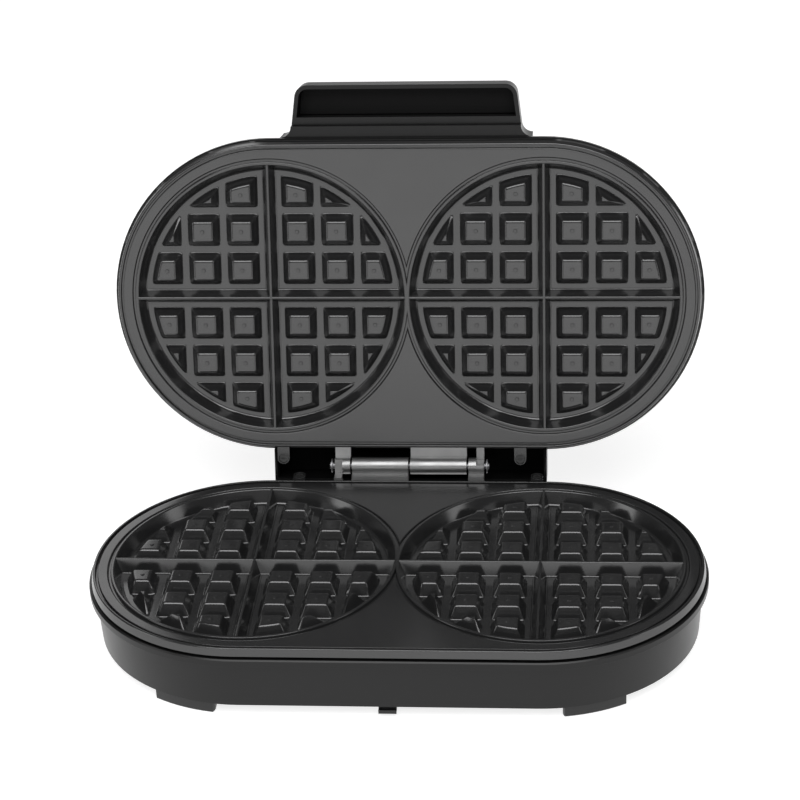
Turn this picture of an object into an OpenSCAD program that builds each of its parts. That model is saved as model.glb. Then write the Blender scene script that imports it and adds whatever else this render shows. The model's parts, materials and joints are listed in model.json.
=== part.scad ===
// Twin round waffle maker, free standing, drawn with its lid open.
// Origin: on the table, below the midpoint between the two wells.
// X runs left to right, Y towards the hinge, Z up. Millimetres.

/* [Outline] */
// Distance between the centres of the two round wells
well_pitch = 174.7; // [150:0.1:220]
// Radius of the housing flange around each well centre
flange_r = 101.6; // [96:0.1:130]
// Height of the base housing, without its feet
base_h = 34.6; // [28:0.1:50]
// Height of the lid housing
lid_h = 33; // [28:0.1:50]
// Height of the moulded feet
foot_h = 8; // [5:0.5:14]

/* [Housing walls] */
// Wall thickness of the plastic housings
wall = 2.6; // [2:0.1:4]
// Height of the flange band
flange_h = 4.7; // [3:0.1:8]
// How far the flange stands out over the wall
flange_over = 3.4; // [2:0.1:5]
// How much the wall leans in from flange to edge
wall_lean = 1.8; // [0:0.1:4]
// Thickness of the bottom cover and of the lid panel
cover_t = 2.4; // [1.6:0.1:4]
// Play around a cover in its housing
cover_play = 0.3; // [0.1:0.05:0.6]

/* [Baking plates] */
// Gap between the two plates when the lid is closed
plate_gap = 8; // [4:0.5:12]
// Space from the plate lip in to the edge of the flange
lip_inset = 1.6; // [1:0.1:4]
// Width of the lip around the plate
lip_w = 2.7; // [2:0.1:5]
// Height of the lip
lip_h = 5.1; // [4:0.1:8]
// Air gap between lip and flange
lip_air = 1.3; // [0.5:0.1:3]
// Height of the lip over the flat
lip_rise = 0.5; // [0:0.1:1.5]
// Width of the drip groove inside the lip
groove_w = 1.6; // [1:0.1:4]
// Depth of the drip groove
groove_d = 2; // [0.5:0.1:2.5]
// Sheet thickness of the casting
cast_t = 3; // [2.4:0.1:5]

/* [Wells] */
// Radius of a well at its rim
well_r = 85.6; // [70:0.1:86]
// Depth of a well
well_d = 8; // [6:0.5:14]
// How far the well wall slopes in over the depth
well_slope = 3.4; // [1:0.1:5]
// Width of the raised bead around a well
bead_w = 2.2; // [1:0.1:3]
// Height of the bead and of the cross bars over the flat
bead_h = 0.8; // [0.4:0.1:2]
// Width of the overflow step around the bead
step_w = 2.1; // [1:0.1:4]
// Depth of the overflow step
step_d = 1.2; // [0.4:0.1:2]
// Centre distance of the pads
pad_pitch = 25; // [20:0.5:30]
// Distance of the first pads from the middle of the well
pad_first = 17.96; // [15:0.01:22]
// Width of a pad at its top
pad_top = 12.6; // [8:0.1:15]
// How far a pad's sides slope over its height
pad_slope = 3.8; // [1:0.1:5]
// Width of the lane between pads and well wall, on the floor
rim_lane = 4.1; // [3:0.1:6]
// Width of a cross bar at its ridge
bar_top = 1.5; // [1:0.1:3]
// Width of a cross bar at the floor
bar_base = 8; // [4:0.1:14]

/* [Hinge] */
// Distance of the hinge axis behind the plate lip
hinge_back = 10.4; // [8:0.1:16]
// Height of the hinge axis over the lower flat
hinge_up = 4.9; // [3.5:0.1:7]
// Radius of the knuckles
knuckle_r = 5.5; // [4.5:0.1:7]
// Length of the two long knuckles
long_knuckle = 36.4; // [20:0.1:50]
// Length of the two short knuckles
short_knuckle = 10; // [8:0.1:20]
// Gap between neighbouring knuckles
knuckle_gap = 1.3; // [0.6:0.1:2]
// Diameter of the hinge pin
pin_d = 4; // [3:0.1:4.4]
// Radial play of the pin in its knuckles
pin_play = 0.05; // [0.02:0.01:0.1]
// Opening angle of the lid
open_angle = 103.4; // [90:0.1:108]
// Distance of the stop flat from the hinge axis
stop_flat = 2.9; // [2.7:0.05:3.4]
// Play at the stop flats
stop_play = 0.1; // [0.05:0.05:0.3]

/* [Ears and screws] */
// Offset of the near ear from the middle
ear_near = 71.6; // [60:0.1:76]
// Offset of the far ear from the middle
ear_far = 82.5; // [77:0.1:84]
// Radius of an ear
ear_r = 3.9; // [3.4:0.1:5]
// Reach of an ear's centre beyond the lip
ear_reach = 6.6; // [5:0.1:9]
// Diameter of the screws
screw_d = 3; // [2.5:0.1:4]
// Head diameter of the screws
head_d = 5.6; // [4.5:0.1:7]
// Head height of the screws
head_h = 1.8; // [1.4:0.1:2.4]
// Radial play of a screw in a clearance hole
screw_play = 0.25; // [0.1:0.05:0.5]

/* [Heating] */
// Radius of the heating loop around each well centre
loop_r = 55; // [40:1:65]
// Diameter of the heating tube
tube_d = 6.5; // [5:0.1:8]
// Sheet thickness of the reflectors
sheet_t = 0.6; // [0.4:0.1:1]
// Height of the posts that carry a reflector
post_h = 12; // [11:0.5:14]

/* [Hood and handle] */
// Half width of the hinge hood
hood_half = 88.6; // [86:0.1:92]
// Distance of the hood's back behind the hinge axis
hood_back = 12.6; // [12:0.1:18]
// Height of the hood's edge above the hinge axis
hood_edge = 5.1; // [4.5:0.1:8]
// Height of the hood above its edge
hood_h = 24; // [18:0.5:30]
// Width of the handle
handle_w = 146; // [110:1:160]
// Reach of the handle beyond the flange
handle_reach = 32.5; // [25:0.5:45]
// Thickness of the handle
handle_t = 17; // [12:0.5:20]
// Corner radius of the handle
handle_r = 8; // [4:0.5:14]
// Wall of the handle around its insert
handle_rim = 2.6; // [2.4:0.1:5]
// Lean of the sides of the handle, in degrees
handle_taper = 7; // [0:0.5:12]

/* [Feet, inlet and lamps] */
// Start and end of a front foot along X, from the middle
foot_x = [102, 139]; // [100:1:145]
// Start and end of a rear foot along X, from the middle
rear_foot_x = [44, 80]; // [30:1:82]
// Depth of a foot from front to back
foot_y = 32; // [20:1:40]
// Diameter of the rubber pads
rubber_d = 16; // [10:1:20]
// Offset of the cord inlet from the middle
inlet_x = 55; // [20:1:75]
// Bore of the cord inlet
cord_bore = 7.2; // [6:0.1:9]
// Diameter of the lamp lenses
lens_d = 8; // [5:0.5:12]
// Distance between the two lenses
lens_pitch = 22; // [15:1:40]

/* [Hidden] */
$fn = 96;

eps = 0.01;
half = well_pitch / 2;
base_top = foot_h + base_h;
flat_z = base_top + lip_air + lip_h - lip_rise;
lip_r = flange_r - lip_inset;
lip_lean = 1.3;                          // the lip's outer side leans in by this much
groove_r = lip_r - lip_w;
flat_r = groove_r - groove_w;
wall_r = flange_r - flange_over;         // housing wall at the flange
edge_r = wall_r - wall_lean;             // housing wall at its free edge
hinge_y = lip_r + hinge_back;
hinge_z = flat_z + hinge_up;
floor_r = well_r - well_slope;            // radius of the well floor
under_z = lip_rise - lip_h;              // underside of the casting, from the flat
cup_z = -well_d - cast_t;                // underside of the wells, from the flat
seat_w = 3;                              // width of the seat that carries a plate
seat_r = lip_r - 1;
post_xy = [28, 20];                      // reflector posts, from each well centre
post_r = 3.5;
tap_d = screw_d - 0.4;                   // hole that a screw cuts its thread in
clear_d = screw_d + 2 * screw_play;      // hole that a screw passes through
foot_gap = 0.2;                          // joint between housing edge and feet
rubber_out = 0.8;                        // how far the rubber stands out of a foot
rubber_in = 2.2;
boss_r = 3.8;
boss_in = 7;                             // screw bosses, inside the housing edge
inlet_z = foot_h + 13;
knuckle_x = long_knuckle + 1.5 * knuckle_gap;      // inner end of a short knuckle
pin_end = knuckle_x + short_knuckle + 3.2;
clip_t = 0.8;
clip_in = 0.9;                           // from a clip to the end of the pin
plate_screw_r = lip_r - 9.6;             // circle of the four plate screws
plate_screw_a = 45;
lug_t = 4;
lug_lip = 0.4;                           // depth of the seat that centres a plate post
lid_bottom = 2 * flat_z + plate_gap - base_top;    // lower edge of the closed lid housing
lid_top = lid_bottom + lid_h;
lid_round = 9;                           // rounding between lid wall and lid top
panel_r = edge_r - lid_round - 1.5;
panel_rise = 1.6;                        // how far the panel stands over the lid
panel_z = lid_top - cover_t;             // seat of the lid panel
hood_z = hinge_z + hood_edge;
handle_z = lid_bottom + flange_h + 5.5;
handle_y = -(flange_r + handle_reach);
lens_y = -66;
root_r = 7;                              // fillet between handle and flange
handle_back = 5;                         // thickness of the handle where it is screwed on
handle_screw_x = [-45, 45];
handle_screw_z = handle_z + handle_t / 2;
spot_y = wall_r - wall - 1.2;            // seat of the handle screws' heads
panel_seat = 9;                          // width of the ledge under the lid panel
lamp_d = 5;

// ---------- shapes that several parts use ----------

// Sweeps a flat outline around the oval: its x is the distance from the well centres, its y the height.
module oval_sweep() {
    for (s = [-1, 1]) {
        translate([s * half, 0, 0])
            rotate([0, 0, -90 * s]) rotate_extrude(angle = 180) children();
        translate([-s * half, 0, 0])
            rotate([90, 0, s * 90]) linear_extrude(well_pitch) children();
    }
}

module oval_ring(points) {
    oval_sweep() polygon(points);
}

// Solid oval with its own radius at the bottom and at the top.
module oval(r1, r2, z, h) {
    for (s = [-1, 1])
        translate([s * half, 0, z]) cylinder(h = h, r1 = r1, r2 = r2);
    translate([-half, 0, z])
        rotate([90, 0, 90])
            linear_extrude(well_pitch) polygon([[-r1, 0], [r1, 0], [r2, h], [-r2, h]]);
}

module rounded_box(size, r) {
    translate([r, 0, 0]) cube([size[0] - 2 * r, size[1], size[2]]);
    translate([0, r, 0]) cube([size[0], size[1] - 2 * r, size[2]]);
    for (x = [r, size[0] - r], y = [r, size[1] - r])
        translate([x, y, 0]) cylinder(h = size[2], r = r);
}

// Everything on the lid is placed closed and swung open about the hinge.
module in_lid() {
    translate([0, hinge_y, hinge_z]) rotate([-open_angle, 0, 0])
        translate([0, -hinge_y, -hinge_z]) children();
}

// Places what belongs to a plate, drawn with the plate's flat at z = 0.
module on_base() {
    translate([0, 0, flat_z]) children();
}

module on_lid() {
    in_lid() translate([0, 0, flat_z + plate_gap]) rotate([0, 180, 0]) children();
}

// Screw with its head's seat at z = 0, shaft pointing down.
module screw(length) {
    difference() {
        union() {
            cylinder(h = head_h, d = head_d);
            translate([0, 0, -length]) cylinder(h = length + eps, d = tap_d - 0.1);
        }
        for (a = [0, 90])
            rotate([0, 0, a]) translate([-1.7, -0.4, head_h - 1]) cube([3.4, 0.8, head_h]);
    }
}

function corner_points() = [for (sx = [-1, 1], sy = [-1, 1])
    [sx * (half + plate_screw_r * cos(plate_screw_a)), sy * plate_screw_r * sin(plate_screw_a)]];
function post_points() = [for (c = [-half, half], sx = [-1, 1], sy = [-1, 1])
    [c + sx * post_xy[0], sy * post_xy[1]]];
function cover_points() = [for (x = [-1, 0, 1], sy = [-1, 1]) [x * half, sy * (edge_r - boss_in)]];
function panel_points() = [for (a = [45, 90, 135, 225, 270, 315])
    [(a % 180 == 90 ? 0 : sign(cos(a)) * half) + (panel_r - panel_seat / 2) * cos(a),
        (panel_r - panel_seat / 2) * sin(a)]];

// ---------- baking plate, flat at z = 0, baking side up ----------

// Bars with sloping sides, along X, at the rows of a well.
module pad_bars() {
    base = pad_top + 2 * pad_slope;
    for (s = [-1, 1], i = [0 : 2])
        translate([-well_r, s * (pad_first + i * pad_pitch), -well_d])
            rotate([90, 0, 90]) linear_extrude(2 * well_r)
                polygon([[-base / 2, -eps], [base / 2, -eps], [pad_top / 2, well_d], [-pad_top / 2, well_d]]);
}

module cross_bar() {
    translate([-well_r, 0, -well_d])
        rotate([90, 0, 90]) linear_extrude(2 * well_r)
            polygon([[-bar_base / 2, -eps], [bar_base / 2, -eps],
                [bar_top / 2, well_d + bead_h], [-bar_top / 2, well_d + bead_h]]);
}

// Pads and cross of one well, to be added on its floor.
module well_relief() {
    intersection() {
        pad_bars();
        rotate([0, 0, 90]) pad_bars();
        translate([0, 0, -well_d - 1])
            cylinder(h = well_d + 1, r1 = floor_r - rim_lane + pad_slope / well_d, r2 = floor_r - rim_lane - pad_slope);
    }
    intersection() {
        union() {
            cross_bar();
            rotate([0, 0, 90]) cross_bar();
        }
        translate([0, 0, -well_d - 1])
            cylinder(h = well_d + bead_h + 1, r = well_r + bead_w / 2);
    }
}

module knuckle(x, length) {
    translate([x, hinge_y, 0]) rotate([0, 90, 0]) cylinder(h = length, r = knuckle_r);
}

// Web from the lip up to a knuckle whose axis lies at height up.
module knuckle_web(x, length, up) {
    translate([x, 0, 0]) rotate([90, 0, 90]) linear_extrude(length)
        polygon([[lip_r - lip_w, under_z], [lip_r - lip_lean, 0], [hinge_y - knuckle_r + 1, up - 2.4],
            [hinge_y, up], [hinge_y + knuckle_r - 0.6, up - 2.2], [hinge_y + 1, under_z + 1],
            [hinge_y - 3, under_z]]);
}

// Tab that meets the other plate's stop flat, both closed and fully open.
module stop_tab(x, length, up) {
    d = stop_flat + stop_play;
    corner = -d * (1 - cos(open_angle)) / sin(open_angle);
    translate([x, hinge_y, up]) rotate([90, 0, 90]) linear_extrude(length)
        polygon([[lip_r - lip_lean - hinge_y, -d], [corner, -d], [corner - 1.2, under_z - up + 1.4],
            [lip_r - lip_w - hinge_y, under_z - up]]);
}

module ear(x) {
    translate([x, lip_r + ear_reach, under_z]) cylinder(h = -under_z, r = ear_r);
    translate([x - ear_r, lip_r - lip_w, under_z]) cube([2 * ear_r, lip_w + ear_reach, -under_z - 0.4]);
}

module plate_casting(up) {
    difference() {
        union() {
            // flat, groove and lip
            oval(flat_r, flat_r, under_z, -under_z);
            oval_ring([[flat_r - 1, under_z], [lip_r, under_z], [lip_r - lip_lean, lip_rise],
                [groove_r, lip_rise], [groove_r, -groove_d], [flat_r - 1, -groove_d]]);
            // seat rib that stands on the housing
            oval_ring([[flat_r - 1, under_z + eps], [flat_r - 1, under_z - lip_air],
                [flat_r - 1 - seat_w, under_z - lip_air], [flat_r - 1 - seat_w, under_z + eps]]);
            for (s = [-1, 1])
                translate([s * half, 0, cup_z])
                    cylinder(h = -cup_z + bead_h, r1 = floor_r + cast_t - 0.6, r2 = well_r + bead_w);
            // channel rib for the heating tube
            oval_ring([[loop_r - tube_d / 2 - 1.6, cup_z - tube_d / 2], [loop_r + tube_d / 2 + 1.6, cup_z - tube_d / 2],
                [loop_r + tube_d / 2 + 1.6, under_z + eps], [loop_r - tube_d / 2 - 1.6, under_z + eps]]);
            for (p = corner_points())
                translate([p[0], p[1], under_z - lip_air - 3]) cylinder(h = lip_air + 3 + eps, r = 3.6);
            for (p = post_points())
                translate([p[0], p[1], cup_z - post_h]) cylinder(h = post_h + 1, r = post_r);
            knuckle_web(-knuckle_gap / 2 - long_knuckle, long_knuckle, up);
            translate([0, 0, up]) knuckle(-knuckle_gap / 2 - long_knuckle, long_knuckle);
            knuckle_web(knuckle_x, short_knuckle, up);
            translate([0, 0, up]) knuckle(knuckle_x, short_knuckle);
            stop_tab(-knuckle_x - short_knuckle, short_knuckle / 2, up);
            for (x = [ear_far, -ear_near]) ear(x);
        }
        for (s = [-1, 1])
            translate([s * half, 0, -well_d])
                cylinder(h = well_d + bead_h + eps, r1 = floor_r, r2 = well_r + well_slope * bead_h / well_d);
        // overflow step around both beads
        difference() {
            for (s = [-1, 1]) translate([s * half, 0, -step_d]) cylinder(h = step_d + eps, r = well_r + bead_w + step_w);
            for (s = [-1, 1]) translate([s * half, 0, -step_d - 1]) cylinder(h = step_d + 2, r = well_r + bead_w);
        }
        // heating channel, open downwards
        oval_sweep() {
            translate([loop_r, tube_z]) circle(d = tube_d + 2 * tube_play);
            translate([loop_r - tube_d / 2 - tube_play, tube_z - tube_d]) square([tube_d + 2 * tube_play, tube_d]);
        }
        // outer half of the short knuckle is cut to a stop flat
        translate([knuckle_x + short_knuckle / 2, hinge_y - knuckle_r - 1, up + stop_flat])
            cube([short_knuckle / 2 + 1, 2 * knuckle_r + 2, knuckle_r]);
        translate([-pin_end, hinge_y, up]) rotate([0, 90, 0]) cylinder(h = 2 * pin_end, d = pin_d + 2 * pin_play);
        for (p = corner_points())
            translate([p[0], p[1], under_z - lip_air - 4]) cylinder(h = 8, d = tap_d);
        for (p = post_points())
            translate([p[0], p[1], cup_z - post_h - 1]) cylinder(h = post_h + 1.5, d = tap_d);
        for (x = [ear_far, -ear_near])
            translate([x, lip_r + ear_reach, 0]) {
                translate([0, 0, under_z - 1]) cylinder(h = 8, d = clear_d);
                translate([0, 0, -head_h - 0.6]) cylinder(h = 8, d = head_d + 0.6);
            }
    }
    for (s = [-1, 1]) translate([s * half, 0, 0]) well_relief();
}

// ---------- heating and fixings under a plate, flat at z = 0 ----------

tube_play = 0.1;
tube_z = cup_z - 0.4 - tube_d / 2 - tube_play;
pin_x = 22;                              // heating terminals, from the middle
pin_drop = 5;

module heating_tube() {
    intersection() {
        oval_sweep() translate([loop_r, tube_z]) circle(d = tube_d);
        union() {
            translate([-2 * well_pitch, -2 * well_pitch, tube_z - tube_d]) cube([4 * well_pitch, 2 * well_pitch, 2 * tube_d]);
            for (s = [0, 1])
                mirror([s, 0, 0]) translate([pin_x, -eps, tube_z - tube_d]) cube([2 * well_pitch, well_pitch, 2 * tube_d]);
        }
    }
    for (s = [-1, 1]) {
        translate([s * pin_x, loop_r, tube_z]) rotate([0, -s * 90, 0]) cylinder(h = 7, d = 2.4);
        translate([s * (pin_x - 6), loop_r, tube_z - pin_drop]) cylinder(h = pin_drop + 1.2, d = 2.4);
    }
}

reflector_z = cup_z - post_h;            // upper face of the sheet, from the flat
module reflector_sheet() {
    difference() {
        union() {
            oval(loop_r + 14, loop_r + 14, reflector_z - sheet_t, sheet_t);
            oval_ring([[loop_r + 14 - sheet_t, reflector_z - sheet_t], [loop_r + 14, reflector_z - sheet_t],
                [loop_r + 14, reflector_z + 6], [loop_r + 14 - sheet_t, reflector_z + 6]]);
        }
        for (p = post_points())
            translate([p[0], p[1], reflector_z - 2]) cylinder(h = 4, d = clear_d);
        translate([-pin_x - 4, loop_r - 8, reflector_z - 2]) cube([2 * pin_x + 8, 16, 4]);
    }
}

module reflector_fixings() {
    for (p = post_points())
        translate([p[0], p[1], reflector_z - sheet_t]) mirror([0, 0, 1]) screw(7);
}

module plate_fixings() {
    for (p = corner_points())
        translate([p[0], p[1], under_z - lip_air - 3 - lug_t]) mirror([0, 0, 1]) screw(lug_t + 5);
}

module ear_fixings() {
    for (x = [ear_far, -ear_near])
        translate([x, lip_r + ear_reach, -head_h - 0.6]) screw(6.5);
}

// ---------- housings, drawn around a plate whose flat is at z = 0 ----------

seat_z = under_z - lip_air;              // top of the housing, from the flat

// Flange, seat and lugs that both housings share; extra lowers the free edge.
module housing_rim(height) {
    oval_ring([[flat_r - 1 - seat_w, seat_z], [flange_r - 0.8, seat_z], [flange_r, seat_z - 0.8],
        [flange_r, seat_z - flange_h], [wall_r, seat_z - flange_h], [edge_r, seat_z - height],
        [edge_r - wall, seat_z - height], [wall_r - wall - 1.2, seat_z - flange_h],
        [flat_r - 1 - seat_w, seat_z - 2.4]]);
    for (p = corner_points()) lug(p, atan2(p[1], p[0] - sign(p[0]) * half));
    for (x = [ear_far, -ear_near]) {
        translate([x, lip_r + ear_reach, seat_z - flange_h]) cylinder(h = flange_h + lip_air, r = ear_r);
        translate([x - ear_r, flange_r - 3, seat_z - flange_h])
            cube([2 * ear_r, lip_r + ear_reach - flange_r + 3, flange_h + lip_air]);
    }
}

module lug(p, angle) {
    reach = wall_r - wall - plate_screw_r + 0.6;
    translate([p[0], p[1], seat_z - 3 - lug_t]) rotate([0, 0, angle])
        linear_extrude(lug_t + lug_lip) {
            circle(r = 4.7);
            translate([1, -4.4]) square([reach - 1, 8.8]);
        }
}

module rim_holes() {
    for (p = corner_points())
        translate([p[0], p[1], seat_z - 3 - lug_t - 1]) cylinder(h = lug_t + 6, d = clear_d);
    for (p = corner_points())
        translate([p[0], p[1], seat_z - 3]) cylinder(h = 5, r = 4.1);
    for (x = [ear_far, -ear_near])
        translate([x, lip_r + ear_reach, seat_z - flange_h - 1]) cylinder(h = flange_h + lip_air + 2, d = tap_d);
}

// ---------- base ----------

// Radius of the base wall at height z.
function wall_at(z) = edge_r + wall_lean * (z - foot_h) / (base_h - flange_h);
gland_flange = cord_bore + 10;
gland_y = wall_at(inlet_z + gland_flange / 2) + 0.1;

module at_inlet(y) {
    translate([inlet_x, y, inlet_z]) rotate([-90, 0, 0]) children();
}

module base_housing() {
    color([0.2, 0.2, 0.21])
    difference() {
        union() {
            on_base() housing_rim(base_h);
            for (p = cover_points())
                translate([p[0], p[1], foot_h + cover_t]) {
                    cylinder(h = 14, r = boss_r);
                    translate([-1, p[1] > 0 ? 0 : -boss_in + wall / 2, 0]) cube([2, boss_in - wall / 2, 14]);
                }
        }
        on_base() rim_holes();
        for (p = cover_points())
            translate([p[0], p[1], foot_h]) cylinder(h = cover_t + 12, d = tap_d);
        at_inlet(edge_r - 12) cylinder(h = 24, d = cord_bore + 5);
    }
}

module foot(sx, sy, grow) {
    span = foot_span(sy);
    translate([sx > 0 ? span[0] : -span[1], sy > 0 ? edge_r - foot_y : -edge_r, rubber_out])
        rounded_box([span[1] - span[0], foot_y, foot_h - rubber_out + grow], 7);
}

module base_cover() {
    cover_r = edge_r - wall - cover_play;
    color([0.17, 0.17, 0.18])
    difference() {
        union() {
            oval(cover_r, cover_r, foot_h, cover_t);
            for (sx = [-1, 1], sy = [-1, 1]) {
                intersection() {
                    oval(edge_r - 1.6, edge_r - 1, rubber_out, foot_h - foot_gap - rubber_out);
                    foot(sx, sy, 0);
                }
                intersection() {
                    oval(cover_r, cover_r, foot_h - 2, 2 + eps);
                    foot(sx, sy, eps);
                }
            }
            // cord cleat at the front
            translate([-5.3, -cover_r, 2.6]) cube([10.6, 3, foot_h - 2.6 + eps]);
            translate([-5.3, -cover_r - 2.2, 2.6]) cube([10.6, 5, 2.4]);
        }
        for (p = foot_points())
            translate([p[0], p[1], -eps]) cylinder(h = rubber_out + rubber_in, d = rubber_d + 0.2);
        for (p = cover_points())
            translate([p[0], p[1], 0]) {
                cylinder(h = 20, d = clear_d);
                cylinder(h = foot_h + 0.8, d = head_d + 0.8);
            }
        // vents
        for (i = [-5 : 5])
            translate([i * 7 - 1.2, 24, foot_h - 1]) cube([2.4, 28, cover_t + 2]);
    }
}

function foot_span(sy) = sy > 0 ? rear_foot_x : foot_x;
// The rear pads sit close to the edge, where the weight of the open lid falls.
function foot_points() = [for (sx = [-1, 1], sy = [-1, 1])
    [sx * (foot_span(sy)[0] + foot_span(sy)[1]) / 2,
        sy > 0 ? edge_r - rubber_d / 2 - 2.6 : foot_y / 2 + 4 - edge_r]];

module foot_pads() {
    color([0.08, 0.08, 0.08])
    for (p = foot_points()) translate([p[0], p[1], 0]) cylinder(h = rubber_out + rubber_in - eps, d = rubber_d);
}

module cover_screws() {
    color([0.6, 0.6, 0.62])
    for (p = cover_points()) translate([p[0], p[1], foot_h + 0.8]) mirror([0, 0, 1]) screw(12);
}

module cord_gland() {
    color([0.1, 0.1, 0.1])
    difference() {
        at_inlet(gland_y) {
            cylinder(h = 3, d = gland_flange);
            translate([0, 0, 3]) cylinder(h = 5, d1 = cord_bore + 7, d2 = cord_bore + 4);
            translate([0, 0, -11]) cylinder(h = 12, d = cord_bore + 4.8);
        }
        at_inlet(0) cylinder(h = 2 * edge_r, d = cord_bore);
    }
}

module gland_nut() {
    color([0.14, 0.14, 0.14])
    at_inlet(edge_r - wall - 4.1)
        difference() {
            cylinder(h = 4, d = cord_bore + 11, $fn = 6);
            translate([0, 0, -1]) cylinder(h = 6, d = cord_bore + 5);
        }
}

module lower_plate() {
    color([0.32, 0.32, 0.33]) on_base() plate_casting(hinge_up);
}

module lower_plate_screws() {
    color([0.6, 0.6, 0.62]) on_base() plate_fixings();
}

module lower_ear_screws() {
    color([0.25, 0.25, 0.26]) on_base() ear_fixings();
}

module lower_element() {
    color([0.45, 0.42, 0.4]) on_base() heating_tube();
}

module lower_reflector() {
    color([0.75, 0.75, 0.76]) on_base() reflector_sheet();
}

module lower_reflector_screws() {
    color([0.6, 0.6, 0.62]) on_base() reflector_fixings();
}

// Small fuse or sensor held by a saddle under the left well.
fuse_d = 4;
fuse_l = 14;

module fuse_body() {
    translate([-half - fuse_l / 2, 0, cup_z - fuse_d / 2 - 0.1]) rotate([0, 90, 0]) {
        cylinder(h = fuse_l, d = fuse_d);
        translate([0, 0, -5]) cylinder(h = fuse_l + 10, d = 1);
    }
}

module saddle(d) {
    difference() {
        union() {
            translate([-4, -d / 2 - 6, -0.8]) cube([8, d + 12, 0.8]);
            translate([-4, -d / 2 - 1, -d - 1]) cube([8, d + 2, d + 1]);
        }
        translate([-5, -d / 2 - 0.15, -d - 0.2]) cube([10, d + 0.3, d + 1]);
    }
}

module base_thermal_fuse() {
    color([0.85, 0.8, 0.7]) on_base() fuse_body();
}

module fuse_clip() {
    color([0.7, 0.7, 0.72]) on_base() translate([-half, 0, cup_z]) saddle(fuse_d);
}

block = [34, 16, 9];                     // ceramic terminal block
block_y = 70;
block_z = foot_h + cover_t;
wire_d = 2.2;
wire_x = pin_x - 6;
wire_z = block_z + 4.5;

module terminal_block() {
    color([0.9, 0.88, 0.82])
    difference() {
        translate([-block[0] / 2, block_y - block[1] / 2, block_z]) cube(block);
        for (i = [-1, 0, 1])
            translate([i * 10, block_y, 0]) {
                translate([0, 20, wire_z]) rotate([90, 0, 0]) cylinder(h = 40, d = wire_d + 1);
                translate([0, 4, wire_z]) cylinder(h = 8, d = 3);
            }
    }
}

module terminal_screws() {
    color([0.8, 0.7, 0.4])
    for (i = [-1, 0, 1])
        translate([i * 10, block_y + 4, wire_z + 1.8]) cylinder(h = 2.4, d = 2.8);
}

// Wires between the terminal block and the heating pins.
module base_wires() {
    top = flat_z + tube_z - pin_drop;
    color([0.85, 0.85, 0.8])
    for (s = [-1, 1]) {
        translate([s * 10, loop_r, wire_z]) rotate([-90, 0, 0]) cylinder(h = block_y - 2 - loop_r, d = wire_d);
        translate([s * 10, loop_r, wire_z]) sphere(d = wire_d);
        translate([s * 10, loop_r, wire_z]) rotate([0, s * 90, 0]) cylinder(h = wire_x - 10, d = wire_d);
        translate([s * wire_x, loop_r, wire_z]) sphere(d = wire_d);
        translate([s * wire_x, loop_r, wire_z]) cylinder(h = top - wire_z - 0.1, d = wire_d);
    }
}

// ---------- hinge ----------

module hinge_pin() {
    color([0.75, 0.75, 0.76])
    translate([-pin_end, hinge_y, hinge_z]) rotate([0, 90, 0])
        difference() {
            cylinder(h = 2 * pin_end, d = pin_d);
            for (x = [clip_in, 2 * pin_end - clip_in - clip_t])
                translate([0, 0, x - 0.05]) difference() {
                    cylinder(h = clip_t + 0.1, d = pin_d + 1);
                    translate([0, 0, -1]) cylinder(h = clip_t + 2, d = pin_d - 1);
                }
        }
}

module hinge_clips() {
    color([0.7, 0.7, 0.7])
    for (x = [-pin_end + clip_in, pin_end - clip_in - clip_t])
        translate([x, hinge_y, hinge_z]) rotate([0, 90, 0])
            difference() {
                cylinder(h = clip_t, d = 9);
                translate([0, 0, -1]) cylinder(h = clip_t + 2, d = pin_d - 0.9);
                translate([0, -0.9, -1]) cube([5, 1.8, clip_t + 2]);
            }
}

// ---------- lid, placed closed ----------

module hood() {
    back = hinge_y + hood_back;
    front = wall_r - 2;
    round_r = 6;
    difference() {
        union() {
            translate([-hood_half, front, hood_z]) cube([2 * hood_half, back - round_r - front, hood_h]);
            translate([-hood_half, back - round_r - eps, hood_z]) cube([2 * hood_half, round_r + eps, hood_h - round_r]);
            translate([-hood_half, back - round_r, hood_z + hood_h - round_r])
                rotate([0, 90, 0]) cylinder(h = 2 * hood_half, r = round_r);
        }
        translate([-hood_half + 2, 0, hood_z - 1])
            cube([2 * hood_half - 4, back - wall, hood_h - wall + 1]);
        // room for the plate's lip below the housing
        oval(lip_r + 1, lip_r + 1, 0, lid_bottom);
        oval(edge_r - 1, edge_r - 1, 0, 2 * lid_top);
    }
}

// Block that carries the handle, with a fillet to the flange on each side.
module handle_root() {
    z = lid_bottom + flange_h - eps;
    difference() {
        translate([-handle_w / 2 - root_r, -flange_r - root_r, z])
            cube([handle_w + 2 * root_r, 16, handle_z + handle_t - z]);
        for (s = [-1, 1])
            translate([s * (handle_w / 2 + root_r), -flange_r - root_r, z - 1]) cylinder(h = 2 * lid_h, r = root_r);
        oval(edge_r - 1, edge_r - 1, 0, 2 * lid_top);
    }
}

module lid_shoulder() {
    oval_sweep() {
        intersection() {
            difference() {
                translate([edge_r - lid_round, lid_top - lid_round]) circle(r = lid_round);
                translate([edge_r - lid_round, lid_top - lid_round]) circle(r = lid_round - wall);
            }
            translate([edge_r - lid_round - eps, lid_top - lid_round - eps]) square(lid_round + 1);
        }
        translate([panel_r + 0.2, panel_z - 2.2])
            square([edge_r - lid_round + eps - panel_r - 0.2, lid_top - panel_z + 2.2]);
        translate([panel_r - panel_seat, panel_z - 2.2]) square([panel_seat + 0.2 + eps, 2.2]);
    }
}

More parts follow.
